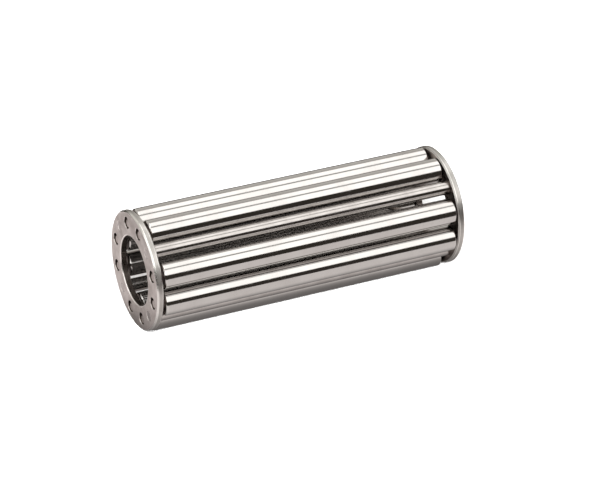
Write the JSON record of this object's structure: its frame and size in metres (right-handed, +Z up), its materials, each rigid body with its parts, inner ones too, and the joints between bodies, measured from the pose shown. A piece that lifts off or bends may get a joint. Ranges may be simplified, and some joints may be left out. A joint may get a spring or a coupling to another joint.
{
  "type": "needle roller bearing",
  "caption": "Long caged needle roller bearing: steel rollers turn on trunnions between two drilled end rings that round tie bars hold apart, and run straight on a shaft.",
  "frame": {"origin": "on the bearing's axis at mid-length", "axes": "+X along the bearing's axis from the left end ring to the right one, +Z up as it lies on its side, -Y towards the viewer"},
  "size_m": [0.095, 0.0344, 0.0344],
  "materials": {
    "end_ring": "flat faces ground and tumbled to a warm satin grey, brighter turned chamfers",
    "tie_bar": "drawn steel rod, bright with fine lengthwise streaks",
    "roller": "hardened steel, ground and polished almost to a mirror, with faint grinding lines around it"
  },
  "bodies": {
    "cage": {"end_ring_left": "end_ring", "end_ring_right": "end_ring", "tie_bar_1": "tie_bar", "tie_bar_2": "tie_bar", "tie_bar_3": "tie_bar", "tie_bar_4": "tie_bar"},
    "roller_1": {"roller_1": "roller"},
    "roller_2": {"roller_2": "roller"},
    "roller_3": {"roller_3": "roller"},
    "roller_4": {"roller_4": "roller"},
    "roller_5": {"roller_5": "roller"},
    "roller_6": {"roller_6": "roller"},
    "roller_7": {"roller_7": "roller"},
    "roller_8": {"roller_8": "roller"}
  },
  "joints": [
    {"name": "roller_1_spin", "type": "hinge", "parent": "cage", "child": "roller_1", "pos_m": [0, 0.00413, 0.01276], "axis": [1, 0, 0], "continuous": true},
    {"name": "roller_2_spin", "type": "hinge", "parent": "cage", "child": "roller_2", "pos_m": [0, -0.00413, 0.01276], "axis": [1, 0, 0], "continuous": true},
    {"name": "roller_3_spin", "type": "hinge", "parent": "cage", "child": "roller_3", "pos_m": [0, -0.01311, 0.00378], "axis": [1, 0, 0], "continuous": true},
    {"name": "roller_4_spin", "type": "hinge", "parent": "cage", "child": "roller_4", "pos_m": [0, -0.01311, -0.00448], "axis": [1, 0, 0], "continuous": true},
    {"name": "roller_5_spin", "type": "hinge", "parent": "cage", "child": "roller_5", "pos_m": [0, -0.00413, -0.01346], "axis": [1, 0, 0], "continuous": true},
    {"name": "roller_6_spin", "type": "hinge", "parent": "cage", "child": "roller_6", "pos_m": [0, 0.00413, -0.01346], "axis": [1, 0, 0], "continuous": true},
    {"name": "roller_7_spin", "type": "hinge", "parent": "cage", "child": "roller_7", "pos_m": [0, 0.01311, -0.00448], "axis": [1, 0, 0], "continuous": true},
    {"name": "roller_8_spin", "type": "hinge", "parent": "cage", "child": "roller_8", "pos_m": [0, 0.01311, 0.00378], "axis": [1, 0, 0], "continuous": true}
  ]
}
